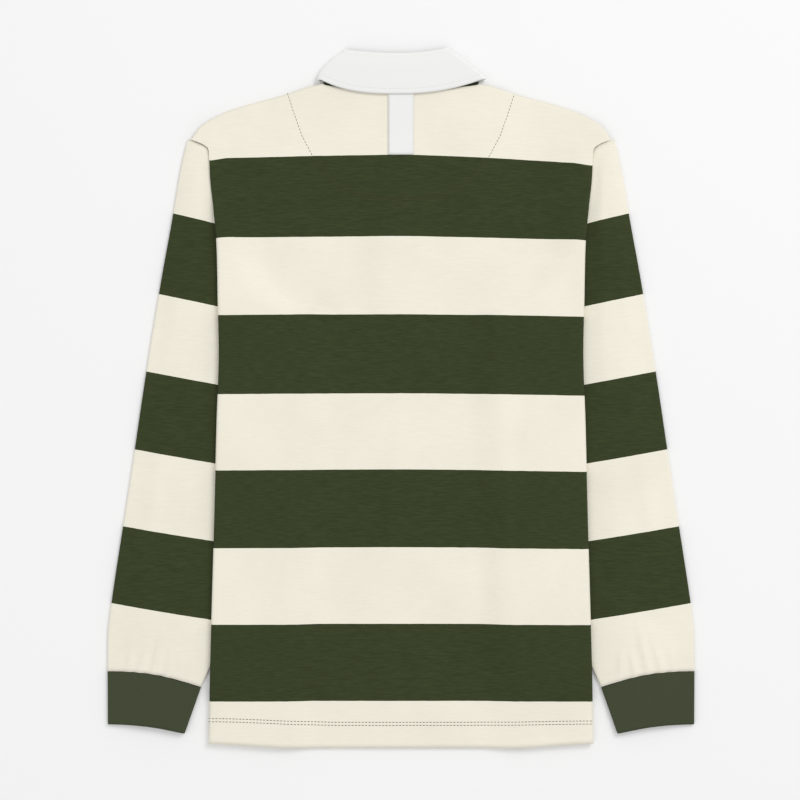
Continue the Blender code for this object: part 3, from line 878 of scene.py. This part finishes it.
leaf, stand = leaf_rows(), stand_rows()
cloth("collar_leaf_twill", leaf, plain_maps(leaf), CLOTH, white_twill, ["collar_leaf"])
cloth("collar_stand_jersey", stand, plain_maps(stand), CLOTH, green_jersey, ["collar_stand"])

# %% [markdown]
# ## Tape and placket
# A strip of twill runs down the back from the collar, and another one backs the opening at the
# front. Each follows the panel it is sewn to, one seam's gap off it.

# %% Make the tape and the placket
STRIP_LIFT = CLOTH / 2 + SEAM + STRIP / 2


def strip(name, top, end, half, layer, node):
    lift = STRIP_LIFT if layer else -STRIP_LIFT
    creases = BACK_CREASES if layer else ()
    rows = [
        [
            point(x, drop, level(x, drop, layer) + creased(x, drop, creases) + lift)
            for x in spaced(-half, half, 10)
        ]
        for drop in spaced(top, end, round((end - top) / 0.003))
    ]
    return cloth(name, rows, plain_maps(rows), STRIP, white_twill, [node])


strip("back_tape_twill", TAPE_TOP, TAPE_END, TAPE_HALF, 1, "back_tape")
strip("placket_twill", PLACKET_TOP, PLACKET_END, PLACKET_HALF, 0, "placket")
for number in (1, 2, 3):
    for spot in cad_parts[f"button_{number}"].material_slots:
        spot.material = white_rubber

# %% [markdown]
# ## Stitching
# A row of stitches is a line of short thread beads that lie half in the cloth. A ray dropped on the finished
# panels finds the cloth's height under each one, so the rows follow every fold.

# %% Sew the rows
STITCH, STITCH_GAP, THREAD, FINE_THREAD = 0.0030, 0.0006, 0.00038, 0.0003
BEAD_SIDES, BEAD_RINGS, BEAD_FLAT = 6, 4, 0.7


def surface(*names):
    depsgraph = bpy.context.evaluated_depsgraph_get()
    return [BVHTree.FromObject(pieces[name], depsgraph) for name in names]


def height_at(trees, x, y):
    hits = [tree.ray_cast(Vector((x, y, 0.1)), Vector((0, 0, -1)))[0] for tree in trees]
    return max((hit.z for hit in hits if hit), default=None)


def sew(name, places, trees, finish, thick=THREAD):
    """Stitches at even steps along a line of (x, drop) places."""
    bm = bmesh.new()
    spots = [Vector((x, CENTRE_DROP - drop, 0)) for x, drop in places]
    carried = 0.0
    count = 0
    for start, end in zip(spots, spots[1:]):
        run = (end - start).length
        while carried < run:
            middle = start.lerp(end, carried / run)
            z = height_at(trees, middle.x, middle.y)
            carried += STITCH + STITCH_GAP
            if z is None:
                continue
            turn = Matrix.Rotation(math.atan2(end.y - start.y, end.x - start.x), 4, "Z")
            size = Matrix.Diagonal((STITCH / 2, thick, thick * BEAD_FLAT, 1))
            place = Matrix.Translation((middle.x, middle.y, z)) @ turn @ size
            bmesh.ops.create_uvsphere(
                bm, u_segments=BEAD_SIDES, v_segments=BEAD_RINGS, radius=1, matrix=place, calc_uvs=False
            )
            count += 1
        carried -= run
    bm.loops.layers.uv.new("cloth")
    print(name, count, "stitches")
    return add_piece(name, bm, finish)


back_trees = surface("back_panel")
HEM_STITCH, TWIN, HEM_STITCH_HALF = 0.6778, 0.0033, 0.2025
RISE_LEFT, RISE_RIGHT = 0.0045, 0.002  # the hem's stitches climb this much towards each side
for row in (0, 1):
    line = []
    for x in spaced(-HEM_STITCH_HALF, HEM_STITCH_HALF, 60):
        rise = (RISE_LEFT if x < 0 else RISE_RIGHT) * ease(0.06, 0.20, abs(x))
        line.append((x, HEM_STITCH + TWIN * row - rise))
    sew(f"hem_stitches_{row + 1}", line, back_trees, dark_thread)

YOKE = (
    Edge(0.0120, 0.1200),
    Edge(0.0350, 0.1125),
    Edge(0.0560, 0.1050),
    Edge(0.0770, 0.0940),
    Edge(0.0960, 0.0800),
    Edge(0.1090, 0.0650),
    Edge(0.1180, 0.0470),
    Edge(0.1225, 0.0270),
    Edge(0.1245, 0.0000),
)
yoke_line = [(-row.half, row.drop) for row in YOKE] + [(row.half, row.drop) for row in YOKE[-2::-1]]
sew("yoke_stitches", yoke_line, back_trees, dark_thread, thick=FINE_THREAD)

leaf_trees = surface("collar_leaf_twill")
LEAF_STITCH, LEAF_SIDE = 0.0055, 0.006
leaf_line = []
for k in range(-OVER_STEPS, OVER_STEPS + 1):
    turn = RIGHT_TURN if k > 0 else LEFT_TURN
    share = k / OVER_STEPS
    edge_drop = mix(EDGE_MIDDLE, turn.edge_drop, abs(share) ** turn.curve)
    leaf_line.append((share * (turn.edge_half - LEAF_SIDE), edge_drop - LEAF_STITCH))
sew("leaf_stitches", leaf_line, leaf_trees, white_thread, FINE_THREAD)
tape_trees = surface("back_tape_twill")
TAPE_INSET, TAPE_HIDDEN = 0.0016, 0.006
for side, name in ((-1, "left"), (1, "right")):
    x = side * (TAPE_HALF - TAPE_INSET)
    tape_line = [(x, TAPE_TOP + TAPE_HIDDEN), (x, TAPE_END - TAPE_INSET)]
    sew(f"tape_stitches_{name}", tape_line, tape_trees, white_thread, FINE_THREAD)
foot_half, foot_drop = TAPE_HALF - TAPE_INSET, TAPE_END - TAPE_INSET
tape_foot = [(-foot_half, foot_drop), (foot_half, foot_drop)]
sew("tape_stitches_foot", tape_foot, tape_trees, white_thread, FINE_THREAD)

# %% [markdown]
# ## Floor, light and camera
# A pale floor and broad soft lights from above give the even light of a catalogue picture, with
# a soft shadow only where the cloth meets the floor. The camera looks straight down.

# %% Set the floor, the lights and the camera
FLOOR_DROP, FLOOR_HALF = 0.0006, 4.0
bm = bmesh.new()
bmesh.ops.create_grid(bm, x_segments=1, y_segments=1, size=FLOOR_HALF)
bmesh.ops.translate(bm, verts=bm.verts, vec=(0, 0, -FLOOR_DROP))
floor_mesh = bpy.data.meshes.new("floor")
bm.to_mesh(floor_mesh)
bm.free()
floor_finish, floor_tree, floor_shader = new_finish("Pale matt floor", 0.9)
floor_shader.inputs["Base Color"].default_value = linear("F4F4F4")
floor_mesh.materials.append(floor_finish)
floor = bpy.data.objects.new("floor", floor_mesh)
bpy.context.scene.collection.objects.link(floor)

bpy.context.scene.view_settings.view_transform = "Standard"
world = bpy.data.worlds.new("Soft studio")
bpy.context.scene.world = world
world.use_nodes = True
world.node_tree.nodes["Background"].inputs["Color"].default_value = (1, 1, 1, 1)
world.node_tree.nodes["Background"].inputs["Strength"].default_value = 0.72

Lamp = collections.namedtuple("Lamp", "name place size power")
LAMPS = (
    Lamp("window", (2.3, 2.4, 3.3), 2.0, 74.0),
    Lamp("fill", (-2.2, -1.4, 3.2), 2.4, 17.0),
)
for lamp in LAMPS:
    light = bpy.data.lights.new(lamp.name, "AREA")
    light.size, light.energy = lamp.size, lamp.power
    placed = bpy.data.objects.new(lamp.name, light)
    placed.location = lamp.place
    placed.rotation_euler = (Vector((0, 0, 0)) - Vector(lamp.place)).to_track_quat("-Z", "Y").to_euler()
    bpy.context.scene.collection.objects.link(placed)

VIEW_WIDE, LENS, SENSOR = 0.848, 85.0, 36.0
camera_data = bpy.data.cameras.new("camera")
camera_data.lens, camera_data.sensor_width = LENS, SENSOR
camera = bpy.data.objects.new("camera", camera_data)
CAMERA_X, CAMERA_Y, CLOTH_LEVEL = -0.0011, -0.0018, 0.004
camera.location = (CAMERA_X, CAMERA_Y, VIEW_WIDE * LENS / SENSOR + CLOTH_LEVEL)
bpy.context.scene.collection.objects.link(camera)
bpy.context.scene.camera = camera
